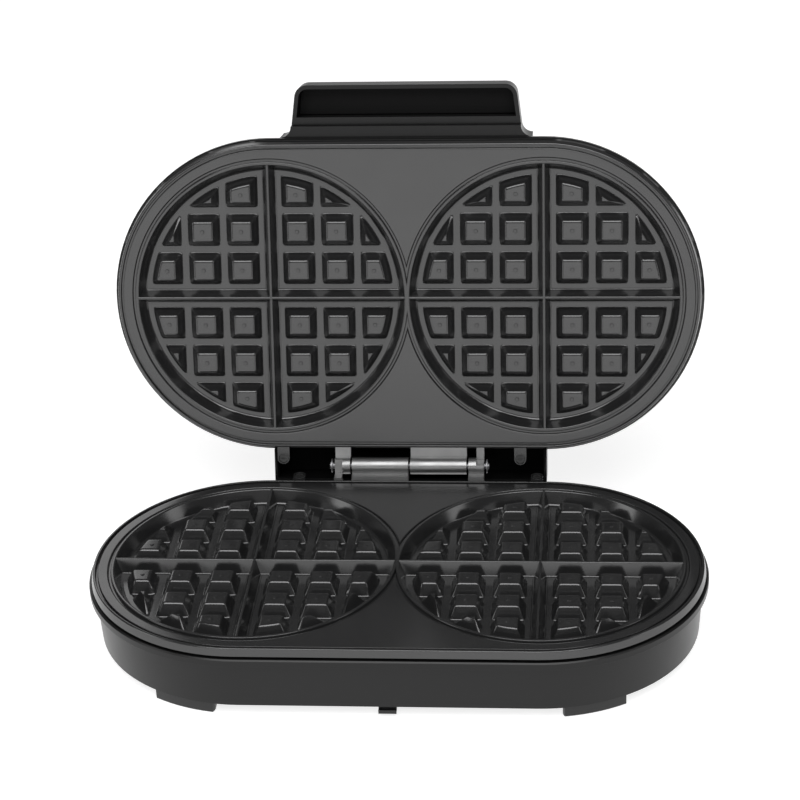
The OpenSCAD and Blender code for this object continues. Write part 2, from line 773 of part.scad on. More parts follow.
module lid_housing() {
    color([0.15, 0.15, 0.16]) {
        difference() {
            union() {
                on_lid() housing_rim(lid_h - lid_round);
                in_lid() lid_shoulder();
                in_lid() hood();
                in_lid() handle_root();
            }
            on_lid() rim_holes();
            in_lid() {
                for (p = panel_points()) translate([p[0], p[1], panel_z - 5]) cylinder(h = 10, d = clear_d);
                for (x = handle_screw_x) translate([x, 0, handle_screw_z]) {
                    translate([0, -spot_y + 1, 0]) rotate([90, 0, 0]) cylinder(h = 20, d = clear_d);
                    translate([0, -spot_y, 0]) rotate([-90, 0, 0]) cylinder(h = 10, d = head_d + 1);
                }
            }
        }
    }
}

module lid_panel() {
    color([0.1, 0.1, 0.11]) in_lid()
    difference() {
        union() {
            oval(panel_r, panel_r, panel_z, cover_t);
            oval(panel_r, panel_r - 2.5, panel_z + cover_t, panel_rise);
        }
        // hollow underside, solid where the lamps are
        difference() {
            oval(panel_r - panel_seat - 2, panel_r - panel_seat - 2, panel_z - 1, panel_rise + 1);
            translate([-holder[0] / 2 - 3, lens_y - holder[1] / 2 - 3, panel_z - 2])
                cube([holder[0] + 6, holder[1] + 6, 8]);
        }
        for (s = [-1, 1])
            translate([s * lens_pitch / 2, lens_y, panel_z - 1]) cylinder(h = 10, d = lens_d + 0.2);
        for (p = panel_points()) translate([p[0], p[1], panel_z - 1]) cylinder(h = 4, d = tap_d);
    }
}

module panel_screws() {
    color([0.6, 0.6, 0.62]) in_lid()
    for (p = panel_points()) translate([p[0], p[1], panel_z - 2.2]) mirror([0, 0, 1]) screw(4.8);
}

module upper_plate() {
    color([0.36, 0.36, 0.37]) on_lid() plate_casting(plate_gap - hinge_up);
}

module upper_plate_screws() {
    color([0.6, 0.6, 0.62]) on_lid() plate_fixings();
}

module upper_ear_screws() {
    color([0.25, 0.25, 0.26]) on_lid() ear_fixings();
}

module upper_element() {
    color([0.45, 0.42, 0.4]) on_lid() heating_tube();
}

module upper_reflector() {
    color([0.75, 0.75, 0.76]) on_lid() reflector_sheet();
}

module upper_reflector_screws() {
    color([0.6, 0.6, 0.62]) on_lid() reflector_fixings();
}

// Snap-disc thermostat under one well, with its two tabs.
thermostat_d = 15;
thermostat_h = 7;

module thermostat() {
    color([0.2, 0.2, 0.2]) on_lid() translate([half, 0, cup_z - 0.1 - thermostat_h]) {
        cylinder(h = thermostat_h, d = thermostat_d);
        for (s = [-1, 1]) translate([s * 4 - 0.4, -3, -2.5]) cube([0.8, 6, 2.5 + eps]);
    }
}

module thermostat_bracket() {
    color([0.7, 0.7, 0.72]) on_lid() translate([half, 0, cup_z]) difference() {
        union() {
            translate([0, 0, -3]) cylinder(h = 3, d = thermostat_d + 2.4);
            translate([-4, -16, -1]) cube([8, 32, 1]);
        }
        translate([0, 0, -4]) cylinder(h = 5, d = thermostat_d + 0.4);
    }
}

module lid_thermal_fuse() {
    color([0.85, 0.8, 0.7]) on_lid() fuse_body();
}

module lid_fuse_clip() {
    color([0.7, 0.7, 0.72]) on_lid() translate([-half, 0, cup_z]) saddle(fuse_d);
}

holder = [44, 16, 7.5];                  // lamp holder, under the lid panel

module lamp_holder() {
    color([0.85, 0.85, 0.82]) in_lid()
    difference() {
        translate([-holder[0] / 2, lens_y - holder[1] / 2, panel_z - holder[2]]) cube(holder);
        for (s = [-1, 1])
            translate([s * lens_pitch / 2, lens_y, panel_z - holder[2] + 1.2]) cylinder(h = holder[2], d = lens_d + 3);
    }
}

module neon_lamps() {
    color([0.9, 0.5, 0.3]) in_lid()
    for (s = [-1, 1])
        translate([s * lens_pitch / 2, lens_y, panel_z - holder[2] + 1.2]) cylinder(h = 4.6, d = lamp_d);
}

module lens(x) {
    in_lid() translate([x, lens_y, panel_z]) {
        translate([0, 0, -1]) cylinder(h = cover_t + panel_rise + 1, d = lens_d);
        translate([0, 0, -1]) cylinder(h = 1, d = lens_d + 2);
        translate([0, 0, cover_t + panel_rise]) intersection() {
            translate([0, 0, -lens_d + 1]) sphere(r = lens_d);
            cylinder(h = 3, d = lens_d - 0.6);
        }
    }
}

module power_lens() {
    color([0.7, 0.1, 0.08]) lens(-lens_pitch / 2);
}

module ready_lens() {
    color([0.1, 0.5, 0.15]) lens(lens_pitch / 2);
}

// Wires from the upper heating pins to the lamp holder.
module lid_wires() {
    z = panel_z - holder[2] - 2;
    low = flat_z + plate_gap - tube_z + pin_drop + 0.1;
    color([0.85, 0.85, 0.8]) in_lid()
    for (s = [-1, 1]) translate([s * wire_x, 0, 0]) {
        translate([0, loop_r, low]) cylinder(h = z - low, d = wire_d);
        translate([0, loop_r, z]) sphere(d = wire_d);
        translate([0, loop_r, z]) rotate([90, 0, 0]) cylinder(h = loop_r - lens_y, d = wire_d);
        translate([0, lens_y, z]) sphere(d = wire_d);
        translate([0, lens_y, z]) cylinder(h = 1.9, d = wire_d);
    }
}

// Outline of the handle seen from above, drawn in by a given amount, from its front edge to y.
// Its sides lean in towards the front and run smoothly into the rounded corners.
module handle_outline(inset, y) {
    r = handle_r - inset;
    cy = handle_y + handle_r;
    cx = handle_w / 2 - (handle_r + (-flange_r - root_r - cy) * sin(handle_taper)) / cos(handle_taper);
    rear_x = cx + (r + (y - cy) * sin(handle_taper)) / cos(handle_taper);
    side = [[cx, cy - r], [cx + r * cos(handle_taper), cy - r * sin(handle_taper)], [rear_x, y]];
    polygon(concat(side, [for (i = [2, 1, 0]) [-side[i][0], side[i][1]]]));
    for (s = [-1, 1]) translate([s * cx, cy]) circle(r = r);
}

module handle() {
    y1 = -flange_r - root_r;
    color([0.11, 0.11, 0.12]) in_lid()
    difference() {
        translate([0, 0, handle_z]) linear_extrude(handle_t) handle_outline(0, y1 - 0.1);
        // finger pocket, open towards the plates
        translate([0, 0, handle_z - 1]) linear_extrude(handle_t - wall + 1)
            handle_outline(handle_rim, y1 - handle_back);
        for (x = handle_screw_x)
            translate([x, y1, handle_screw_z]) rotate([90, 0, 0]) cylinder(h = handle_back - 1, d = tap_d);
    }
}

module handle_insert() {
    color([0.2, 0.2, 0.21]) in_lid()
    translate([0, 0, handle_z + handle_t - wall - 2])
        linear_extrude(2 - eps) handle_outline(handle_rim + 0.2, -flange_r - root_r - handle_back - 0.2);
}

module handle_screws() {
    color([0.6, 0.6, 0.62]) in_lid()
    for (x = handle_screw_x)
        translate([x, -spot_y, handle_screw_z]) rotate([-90, 0, 0]) screw(root_r + handle_back + flange_r - spot_y - 1.5);
}

base_housing();
base_cover();
foot_pads();
cover_screws();
cord_gland();
gland_nut();
lower_plate();
lower_plate_screws();
lower_ear_screws();
lower_element();
lower_reflector();
lower_reflector_screws();
base_thermal_fuse();
fuse_clip();
terminal_block();
terminal_screws();
base_wires();
hinge_pin();
hinge_clips();
lid_housing();
lid_panel();
panel_screws();
upper_plate();
upper_plate_screws();
upper_ear_screws();
upper_element();
upper_reflector();
upper_reflector_screws();
thermostat();
thermostat_bracket();
lid_thermal_fuse();
lid_fuse_clip();
lid_wires();
lamp_holder();
neon_lamps();
power_lens();
ready_lens();
handle();
handle_insert();
handle_screws();
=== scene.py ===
import json
import math

import bmesh
import bpy
from mathutils import Matrix, Vector


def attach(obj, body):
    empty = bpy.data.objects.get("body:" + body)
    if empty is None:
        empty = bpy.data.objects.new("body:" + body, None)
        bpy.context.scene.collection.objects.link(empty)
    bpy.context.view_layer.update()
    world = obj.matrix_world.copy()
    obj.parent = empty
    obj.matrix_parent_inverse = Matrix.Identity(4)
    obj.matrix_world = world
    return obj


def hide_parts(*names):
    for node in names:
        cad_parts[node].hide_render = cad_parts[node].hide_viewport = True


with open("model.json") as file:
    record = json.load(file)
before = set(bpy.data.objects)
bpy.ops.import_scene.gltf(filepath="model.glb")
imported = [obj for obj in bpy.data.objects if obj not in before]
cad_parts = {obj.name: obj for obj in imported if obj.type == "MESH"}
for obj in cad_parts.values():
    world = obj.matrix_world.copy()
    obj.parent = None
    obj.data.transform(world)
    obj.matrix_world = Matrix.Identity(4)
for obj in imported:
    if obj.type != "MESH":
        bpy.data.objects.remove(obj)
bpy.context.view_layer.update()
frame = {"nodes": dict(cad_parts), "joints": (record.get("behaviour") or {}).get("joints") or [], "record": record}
mm = 0.001


# ---- camera, floor and lights

cameraView = {
    "place": (0.1265, -1.2780, 0.8284),
    "turn": 5.388,          # degrees, to the left
    "lookDown": 27.531,
    "roll": -2.374,
    "lens": 110.75,
}


def makeCamera(view):
    camera = bpy.data.objects.new("camera", bpy.data.cameras.new("camera"))
    bpy.context.collection.objects.link(camera)
    turn = Matrix.Rotation(math.radians(view["turn"]), 4, "Z")
    tilt = Matrix.Rotation(math.radians(90 - view["lookDown"]), 4, "X")
    roll = Matrix.Rotation(math.radians(view["roll"]), 4, "Z")
    camera.matrix_world = Matrix.Translation(view["place"]) @ turn @ tilt @ roll
    camera.data.lens = view["lens"]
    camera.data.sensor_width = 36
    camera.data.clip_end = 50
    bpy.context.scene.camera = camera


softLights = {
    # name: (place, aimed at, width, height, watts)
    "leftBox": ((-1.7, -0.6, 0.8), (0, 0, 0.10), 0.6, 1.4, 6),
    "rightBox": ((1.7, -0.5, 0.8), (0, 0, 0.10), 0.5, 1.4, 4),
    "topBox": ((0.0, -1.3, 2.3), (0, 0.0, 0.05), 2.6, 2.0, 70),
    "frontBox": ((0.0, -3.2, 0.45), (0, 0, 0.25), 3.8, 0.8, 14),
    "backLeftBox": ((-1.15, 2.3, 1.35), (-0.2, 0, 0.05), 1.3, 0.9, 5),
}
studio = {"worldLight": 0.1, "floorSize": 12, "floorGrey": 0.5, "floorGlow": 0.8}


def makeLights(lights, worldLight):
    for name, (place, target, width, height, watts) in lights.items():
        lamp = bpy.data.lights.new(name, "AREA")
        lamp.shape = "RECTANGLE"
        lamp.size, lamp.size_y, lamp.energy = width, height, watts
        holder = bpy.data.objects.new(name, lamp)
        bpy.context.collection.objects.link(holder)
        aim = Vector(target) - Vector(place)
        holder.matrix_world = Matrix.Translation(place) @ aim.to_track_quat("-Z", "Y").to_matrix().to_4x4()
    world = bpy.data.worlds.new("studio")
    world.use_nodes = True
    background = world.node_tree.nodes["Background"]
    background.inputs["Color"].default_value = (1, 1, 1, 1)
    background.inputs["Strength"].default_value = worldLight
    bpy.context.scene.world = world


def makeFloor(size, brightness, glow):
    mesh = bpy.data.meshes.new("studioFloor")
    half = size / 2
    corners = [(-half, -half, 0), (half, -half, 0), (half, half, 0), (-half, half, 0)]
    mesh.from_pydata(corners, [], [(0, 1, 2, 3)])
    floor = bpy.data.objects.new("studioFloor", mesh)
    bpy.context.collection.objects.link(floor)
    material = bpy.data.materials.new("paleFloor")
    material.use_nodes = True
    shader = material.node_tree.nodes["Principled BSDF"]
    shader.inputs["Base Color"].default_value = (brightness, brightness, brightness, 1)
    shader.inputs["Roughness"].default_value = 0.9
    shader.inputs["Specular IOR Level"].default_value = 0.1
    shader.inputs["Emission Color"].default_value = (1, 1, 1, 1)
    shader.inputs["Emission Strength"].default_value = glow
    mesh.materials.append(material)


makeCamera(cameraView)
makeLights(softLights, studio["worldLight"])
bpy.context.scene.view_settings.view_transform = "Standard"
makeFloor(studio["floorSize"], studio["floorGrey"], studio["floorGlow"])
print("camera, floor and lights are set")


# ---- shader groups that several finishes share

def newGroup(name, inputs, outputs):
    group = bpy.data.node_groups.new(name, "ShaderNodeTree")
    for label, kind, value in inputs:
        socket = group.interface.new_socket(label, in_out="INPUT", socket_type=kind)
        socket.default_value = value
    for label, kind in outputs:
        group.interface.new_socket(label, in_out="OUTPUT", socket_type=kind)
    return group, group.nodes.new("NodeGroupInput"), group.nodes.new("NodeGroupOutput")


def addNode(tree, kind, **settings):
    node = tree.nodes.new(kind)
    for key, value in settings.items():
        setattr(node, key, value)
    return node


def mouldedGrain():
    # the fine spark-eroded texture of moulded plastic, with faint cloudiness
    group, entry, leave = newGroup(
        "mouldedGrain",
        [("Colour", "NodeSocketColor", (0.1, 0.1, 0.1, 1)), ("Grain Size", "NodeSocketFloat", 1400.0),
         ("Depth", "NodeSocketFloat", 0.12), ("Roughness", "NodeSocketFloat", 0.5),
         ("Cloud", "NodeSocketFloat", 0.12)],
        [("Colour", "NodeSocketColor"), ("Roughness", "NodeSocketFloat"), ("Normal", "NodeSocketVector")])
    link = group.links.new
    where = addNode(group, "ShaderNodeTexCoord")
    grain = addNode(group, "ShaderNodeTexNoise")
    grain.inputs["Detail"].default_value = 3
    cloud = addNode(group, "ShaderNodeTexNoise")
    cloud.inputs["Scale"].default_value = 22
    cloud.inputs["Detail"].default_value = 4
    link(where.outputs["Object"], grain.inputs["Vector"])
    link(where.outputs["Object"], cloud.inputs["Vector"])
    link(entry.outputs["Grain Size"], grain.inputs["Scale"])
    bump = addNode(group, "ShaderNodeBump")
    bump.inputs["Distance"].default_value = 0.0002
    link(entry.outputs["Depth"], bump.inputs["Strength"])
    link(grain.outputs["Fac"], bump.inputs["Height"])
    spread = addNode(group, "ShaderNodeMapRange")
    spread.inputs["From Min"].default_value = 0.3
    spread.inputs["From Max"].default_value = 0.7
    spread.inputs["To Min"].default_value = -1
    spread.inputs["To Max"].default_value = 1
    link(cloud.outputs["Fac"], spread.inputs["Value"])
    amount = addNode(group, "ShaderNodeMath", operation="MULTIPLY")
    link(spread.outputs["Result"], amount.inputs[0])
    link(entry.outputs["Cloud"], amount.inputs[1])
    value = addNode(group, "ShaderNodeMath", operation="ADD")
    value.inputs[1].default_value = 1
    link(amount.outputs[0], value.inputs[0])
    tint = addNode(group, "ShaderNodeHueSaturation")
    link(entry.outputs["Colour"], tint.inputs["Color"])
    link(value.outputs[0], tint.inputs["Value"])
    rough = addNode(group, "ShaderNodeMath", operation="MULTIPLY_ADD", use_clamp=True)
    rough.inputs[1].default_value = 0.35
    link(amount.outputs[0], rough.inputs[0])
    link(entry.outputs["Roughness"], rough.inputs[2])
    link(tint.outputs["Color"], leave.inputs["Colour"])
    link(rough.outputs[0], leave.inputs["Roughness"])
    link(bump.outputs["Normal"], leave.inputs["Normal"])
    return group


def sprayedCoat():
    # baked non-stick coating: orange peel, fine metallic flecks and a slight uneven gloss
    group, entry, leave = newGroup(
        "sprayedCoat",
        [("Colour", "NodeSocketColor", (0.1, 0.1, 0.1, 1)),
         ("Fleck Colour", "NodeSocketColor", (0.3, 0.3, 0.3, 1)),
         ("Fleck Size", "NodeSocketFloat", 2600.0), ("Peel", "NodeSocketFloat", 0.1),
         ("Roughness", "NodeSocketFloat", 0.35)],
        [("Colour", "NodeSocketColor"), ("Roughness", "NodeSocketFloat"), ("Normal", "NodeSocketVector")])
    link = group.links.new
    where = addNode(group, "ShaderNodeTexCoord")
    fleck = addNode(group, "ShaderNodeTexVoronoi")
    link(where.outputs["Object"], fleck.inputs["Vector"])
    link(entry.outputs["Fleck Size"], fleck.inputs["Scale"])
    mask = addNode(group, "ShaderNodeMapRange")
    mask.inputs["From Min"].default_value = 0.16
    mask.inputs["From Max"].default_value = 0.05
    link(fleck.outputs["Distance"], mask.inputs["Value"])
    blend = addNode(group, "ShaderNodeMix", data_type="RGBA")
    link(mask.outputs["Result"], blend.inputs["Factor"])
    link(entry.outputs["Colour"], blend.inputs["A"])
    link(entry.outputs["Fleck Colour"], blend.inputs["B"])
    peel = addNode(group, "ShaderNodeTexNoise")
    peel.inputs["Scale"].default_value = 420
    peel.inputs["Detail"].default_value = 2
    link(where.outputs["Object"], peel.inputs["Vector"])
    bump = addNode(group, "ShaderNodeBump")
    bump.inputs["Distance"].default_value = 0.0003
    link(entry.outputs["Peel"], bump.inputs["Strength"])
    link(peel.outputs["Fac"], bump.inputs["Height"])
    uneven = addNode(group, "ShaderNodeTexNoise")
    uneven.inputs["Scale"].default_value = 30
    uneven.inputs["Detail"].default_value = 5
    link(where.outputs["Object"], uneven.inputs["Vector"])
    rough = addNode(group, "ShaderNodeMath", operation="MULTIPLY_ADD", use_clamp=True)
    rough.inputs[1].default_value = 0.12
    link(uneven.outputs["Fac"], rough.inputs[0])
    link(entry.outputs["Roughness"], rough.inputs[2])
    link(blend.outputs["Result"], leave.inputs["Colour"])
    link(rough.outputs[0], leave.inputs["Roughness"])
    link(bump.outputs["Normal"], leave.inputs["Normal"])
    return group


def drawnMetal():
    # fine lines along one axis, as on turned, drawn or rolled metal
    group, entry, leave = newGroup(
        "drawnMetal",
        [("Colour", "NodeSocketColor", (0.6, 0.6, 0.6, 1)),
         ("Stretch", "NodeSocketVector", (60.0, 2400.0, 2400.0)),
         ("Depth", "NodeSocketFloat", 0.15), ("Roughness", "NodeSocketFloat", 0.3),
         ("Tarnish", "NodeSocketFloat", 0.2)],
        [("Colour", "NodeSocketColor"), ("Roughness", "NodeSocketFloat"), ("Normal", "NodeSocketVector")])
    link = group.links.new
    where = addNode(group, "ShaderNodeTexCoord")
    scale = addNode(group, "ShaderNodeVectorMath", operation="MULTIPLY")
    link(where.outputs["Object"], scale.inputs[0])
    link(entry.outputs["Stretch"], scale.inputs[1])
    lines = addNode(group, "ShaderNodeTexNoise")
    lines.inputs["Scale"].default_value = 1
    lines.inputs["Detail"].default_value = 4
    link(scale.outputs["Vector"], lines.inputs["Vector"])
    bump = addNode(group, "ShaderNodeBump")
    bump.inputs["Distance"].default_value = 0.0002
    link(entry.outputs["Depth"], bump.inputs["Strength"])
    link(lines.outputs["Fac"], bump.inputs["Height"])
    spots = addNode(group, "ShaderNodeTexNoise")
    spots.inputs["Scale"].default_value = 60
    spots.inputs["Detail"].default_value = 6
    link(where.outputs["Object"], spots.inputs["Vector"])
    darken = addNode(group, "ShaderNodeMath", operation="MULTIPLY")
    link(spots.outputs["Fac"], darken.inputs[0])
    link(entry.outputs["Tarnish"], darken.inputs[1])
    value = addNode(group, "ShaderNodeMath", operation="SUBTRACT")
    value.inputs[0].default_value = 1
    link(darken.outputs[0], value.inputs[1])
    tint = addNode(group, "ShaderNodeHueSaturation")
    link(entry.outputs["Colour"], tint.inputs["Color"])
    link(value.outputs[0], tint.inputs["Value"])
    rough = addNode(group, "ShaderNodeMath", operation="ADD", use_clamp=True)
    link(darken.outputs[0], rough.inputs[0])
    link(entry.outputs["Roughness"], rough.inputs[1])
    link(tint.outputs["Color"], leave.inputs["Colour"])
    link(rough.outputs[0], leave.inputs["Roughness"])
    link(bump.outputs["Normal"], leave.inputs["Normal"])
    return group


grainGroup, coatGroup, metalGroup = mouldedGrain(), sprayedCoat(), drawnMetal()


def finishMaterial(name, group, values, metallic=0.0, **shaderValues):
    material = bpy.data.materials.new(name)
    material.use_nodes = True
    tree = material.node_tree
    shader = tree.nodes["Principled BSDF"]
    surface = tree.nodes.new("ShaderNodeGroup")
    surface.node_tree = group
    for label, value in values.items():
        surface.inputs[label].default_value = value
    tree.links.new(surface.outputs["Colour"], shader.inputs["Base Color"])
    tree.links.new(surface.outputs["Roughness"], shader.inputs["Roughness"])
    tree.links.new(surface.outputs["Normal"], shader.inputs["Normal"])
    shader.inputs["Metallic"].default_value = metallic
    for label, value in shaderValues.items():
        shader.inputs[label.replace("_", " ")].default_value = value
    return material


def grey(level):
    return (level, level, level * 1.02, 1)


housingPlastic = finishMaterial("housingPlastic", grainGroup, {
    "Colour": grey(0.004), "Roughness": 0.32, "Depth": 0.08, "Cloud": 0.05}, Specular_IOR_Level=0.32)
footPlastic = finishMaterial("footPlastic", grainGroup, {
    "Colour": grey(0.007), "Roughness": 0.42, "Depth": 0.12, "Cloud": 0.06}, Specular_IOR_Level=0.4)
handlePlastic = finishMaterial("handlePlastic", grainGroup, {
    "Colour": grey(0.004), "Roughness": 0.32, "Depth": 0.06, "Cloud": 0.06}, Specular_IOR_Level=0.34)
insertPlastic = finishMaterial("insertPlastic", grainGroup, {
    "Colour": grey(0.0025), "Roughness": 0.55, "Depth": 0.1, "Cloud": 0.06}, Specular_IOR_Level=0.12)
# painted shade: a darker, duller copy of the housing plastic for the inside of the hood, where shade falls
hoodPaintedShadePlastic = finishMaterial("hoodPaintedShadePlastic", grainGroup, {
    "Colour": grey(0.002), "Roughness": 0.6, "Depth": 0.1, "Cloud": 0.06}, Specular_IOR_Level=0.05)
panelPlastic = finishMaterial("panelPlastic", grainGroup, {
    "Colour": grey(0.008), "Roughness": 0.2, "Depth": 0.03, "Cloud": 0.04})
blackPlastic = finishMaterial("blackPlastic", grainGroup, {
    "Colour": grey(0.008), "Roughness": 0.42, "Depth": 0.1, "Cloud": 0.06})
footRubber = finishMaterial("footRubber", grainGroup, {
    "Colour": grey(0.012), "Roughness": 0.8, "Depth": 0.25, "Grain Size": 900.0, "Cloud": 0.1})
ceramicBody = finishMaterial("ceramicBody", grainGroup, {
    "Colour": (0.72, 0.69, 0.6, 1), "Roughness": 0.55, "Depth": 0.1, "Cloud": 0.06})
wireSleeve = finishMaterial("wireSleeve", grainGroup, {
    "Colour": (0.62, 0.6, 0.52, 1), "Roughness": 0.75, "Depth": 0.4, "Grain Size": 700.0, "Cloud": 0.1})
nonStickCoat = finishMaterial("nonStickCoat", coatGroup, {
    "Colour": grey(0.014), "Fleck Colour": grey(0.03), "Peel": 0.02, "Roughness": 0.12}, IOR=1.7)
castMetal = finishMaterial("castMetal", metalGroup, {
    "Colour": (0.31, 0.31, 0.31, 1), "Stretch": (900.0, 300.0, 300.0), "Depth": 0.1, "Roughness": 0.24,
    "Tarnish": 0.3}, metallic=1.0)
pinSteel = finishMaterial("pinSteel", metalGroup, {
    "Colour": (0.3, 0.3, 0.31, 1), "Depth": 0.12, "Roughness": 0.34, "Tarnish": 0.3}, metallic=1.0)
darkSteel = finishMaterial("darkSteel", metalGroup, {
    "Colour": (0.12, 0.12, 0.12, 1), "Depth": 0.1, "Roughness": 0.35, "Tarnish": 0.4}, metallic=1.0)
sheetMetal = finishMaterial("sheetMetal", metalGroup, {
    "Colour": (0.8, 0.8, 0.82, 1), "Stretch": (900.0, 40.0, 900.0), "Depth": 0.1, "Roughness": 0.2,
    "Tarnish": 0.15}, metallic=1.0)
heaterMetal = finishMaterial("heaterMetal", metalGroup, {
    "Colour": (0.3, 0.27, 0.25, 1), "Depth": 0.1, "Roughness": 0.4, "Tarnish": 0.5}, metallic=1.0)
brassMetal = finishMaterial("brassMetal", metalGroup, {
    "Colour": (0.7, 0.5, 0.2, 1), "Depth": 0.1, "Roughness": 0.25, "Tarnish": 0.3}, metallic=1.0)
redLens = finishMaterial("redLens", grainGroup, {
    "Colour": (0.35, 0.012, 0.01, 1), "Roughness": 0.12, "Depth": 0.02, "Cloud": 0.1}, Coat_Weight=0.6)
greenLens = finishMaterial("greenLens", grainGroup, {
    "Colour": (0.012, 0.2, 0.04, 1), "Roughness": 0.12, "Depth": 0.02, "Cloud": 0.1}, Coat_Weight=0.6)
lampGlass = finishMaterial("lampGlass", grainGroup, {
    "Colour": (0.8, 0.4, 0.2, 1), "Roughness": 0.1, "Depth": 0.02, "Cloud": 0.1}, Coat_Weight=0.4)

slotFinish = {
    "housing": housingPlastic, "base_plastic": footPlastic, "rubber": footRubber, "steel": pinSteel,
    "black_plastic": blackPlastic, "lid_panel": panelPlastic, "handle": handlePlastic,
    "handle_insert": insertPlastic, "nonstick_casting": nonStickCoat, "dark_screw": darkSteel,
    "heating_tube": heaterMetal, "reflector": sheetMetal, "ceramic": ceramicBody, "brass": brassMetal,
    "wire": wireSleeve, "lamp": lampGlass, "red_lens": redLens, "green_lens": greenLens,
}
nodeSlot = {part["node"]: part["material_slot"] for part in frame["record"]["subparts"]}
for name, node in frame["nodes"].items():
    finish = slotFinish[nodeSlot[name]]
    if node.material_slots:
        for slot in node.material_slots:
            slot.material = finish
    else:
        node.data.materials.append(finish)
print("finishes are on the nodes")


# ---- where the lid stands, open and closed

hinge = frame["joints"][0]
hingePlace = Vector(hinge["pos_m"])
openAngle = hinge["range_deg"][1]
hingeOverFlat, plateGap = 4.9, 8.0                      # mm
flatHeight = hingePlace.z - hingeOverFlat * mm
lidSwing = (Matrix.Translation(hingePlace) @ Matrix.Rotation(math.radians(-openAngle), 4, "X")
            @ Matrix.Translation(-hingePlace))


# ---- rounded copies of the moulded and cast parts

roundedParts = {
    # node: (edge radius in mm, steps, least angle of an edge that is rounded)
    "base_housing": (0.5, 2, 30),
    "lid_housing": (0.5, 2, 30),
    "lid_panel": (0.6, 3, 25),
    "base_cover": (0.5, 2, 30),
    "handle": (1.0, 3, 30),
    "handle_insert": (0.4, 2, 30),
    "cord_gland": (0.4, 2, 30),
}


def bodyOf(nodeName):
    for body, members in frame["record"]["behaviour"]["bodies"].items():
        if nodeName in members:
            return body


hoodInside = {
    # inside of the hood behind the hinge, in mm, as it lies with the lid closed; faces here get painted shade
    "halfWidth": 87.5, "front": 102.7, "back": 120.8, "top": 80.5,
}


def inHood(point):
    place = (lidSwing.inverted() @ point) / mm
    return (abs(place.x) < hoodInside["halfWidth"] and hoodInside["front"] < place.y < hoodInside["back"]
            and place.z < hoodInside["top"])


def roundedCopy(nodeName, radius, steps, angle):
    mesh = frame["nodes"][nodeName].data.copy()
    mesh.name = nodeName + "Rounded"
    if mesh.has_custom_normals:
        mesh.attributes.remove(mesh.attributes["custom_normal"])
    work = bmesh.new()
    work.from_mesh(mesh)
    bmesh.ops.remove_doubles(work, verts=work.verts, dist=2e-6)
    bmesh.ops.dissolve_degenerate(work, dist=2e-6, edges=work.edges)
    bmesh.ops.dissolve_limit(work, angle_limit=math.radians(0.5), verts=work.verts, edges=work.edges,
                             use_dissolve_boundaries=False)
    for face in work.faces:
        face.smooth = True
    work.to_mesh(mesh)
    work.free()
    source = bpy.data.objects.new(mesh.name, mesh)
    bpy.context.collection.objects.link(source)
    bevel = source.modifiers.new("round", "BEVEL")
    bevel.width = radius * mm
    bevel.segments = steps
    bevel.limit_method = "ANGLE"
    bevel.angle_limit = math.radians(angle)
    bevel.harden_normals = False
    bevel.use_clamp_overlap = True
    bevel.miter_outer = "MITER_ARC"
    flat = source.modifiers.new("triangles", "TRIANGULATE")
    flat.keep_custom_normals = True
    shade = source.modifiers.new("even", "WEIGHTED_NORMAL")
    shade.keep_sharp = True
    source.data.set_sharp_from_angle(angle=math.radians(60))
    graph = bpy.context.evaluated_depsgraph_get()
    result = bpy.data.meshes.new_from_object(source.evaluated_get(graph))
    bpy.data.objects.remove(source)
    piece = bpy.data.objects.new(nodeName + "Rounded", result)
    bpy.context.collection.objects.link(piece)
    piece.data.materials.clear()
    piece.data.materials.append(slotFinish[nodeSlot[nodeName]])
    # faces inside the hood take the darker copy of the housing plastic, as painted shade
    if nodeName == "lid_housing":
        piece.data.materials.append(hoodPaintedShadePlastic)
        for polygon in piece.data.polygons:
            polygon.material_index = 1 if inHood(polygon.center) else 0
    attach(piece, bodyOf(nodeName))
    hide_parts(nodeName)
    print("rounded", nodeName, len(result.vertices), len(result.polygons))


for name, (radius, steps, angle) in roundedParts.items():
    roundedCopy(name, radius, steps, angle)


# ---- baking plates

plate = {
    # sizes in mm, measured from the flat of the plate, close to those of the cast part
    "wellPitch": 174.7, "flatRadius": 95.7, "grooveDepth": 2.0, "lipInner": 97.3, "lipOuter": 100.04,
    "lipTop": 0.5, "lipBottom": -4.6, "lipLean": 1.2, "stepOuter": 89.9, "stepDepth": 1.2,
    "beadRadius": 87.8, "beadHeight": 0.8, "wellRadius": 85.6, "wellDepth": 8.0, "wellSlope": 3.4,
    "padPitch": 25.0, "padFirst": 17.96, "padTop": 12.6, "padSlope": 3.8, "padCorner": 26.0,
    "rimLane": 4.1, "padEdge": 1.25, "padFoot": 0.7, "barTop": 1.5, "barBase": 7.2,
    "markRadius": 1.3, "markHeight": 0.6, "markTaper": 0.78, "underDepth": 11.0, "underRadius": 85.0,
    "lugCut": 1.1, "lugEdge": 0.35, "knuckleReach": 60.0,
}


def ringOutline(radius, pitch, count):
    # a long oval: two half circles joined by straight sides
    half, outline = pitch / 2, []
    for side in (1, -1):
        for step in range(count + 1):
            angle = math.radians(180 * step / count - 90 * side)
            outline.append((side * half + radius * math.cos(angle), radius * math.sin(angle)))
    return outline


def twinOutline(radius, pitch, count):
    # the outline of two circles that overlap in the middle
    half, outline = pitch / 2, []
    cut = math.acos(min(1, half / radius)) if radius > half else 0.0
    for side in (1, -1):
        first = -math.pi + cut if side > 0 else cut
        sweep = 2 * math.pi - 2 * cut
        for step in range(count):
            angle = first + sweep * step / count
            outline.append((side * half + radius * math.cos(angle), radius * math.sin(angle)))
    return outline


def circleOutline(centre, radius, count):
    angles = [2 * math.pi * step / count for step in range(count)]
    return [(centre + radius * math.cos(angle), radius * math.sin(angle)) for angle in angles]


def addLoop(work, outline, height):
    return [work.verts.new((x, y, height)) for x, y in outline]


def joinLoops(work, lower, upper):
    count = len(lower)
    for index in range(count):
        after = (index + 1) % count
        work.faces.new((lower[index], lower[after], upper[after], upper[index]))


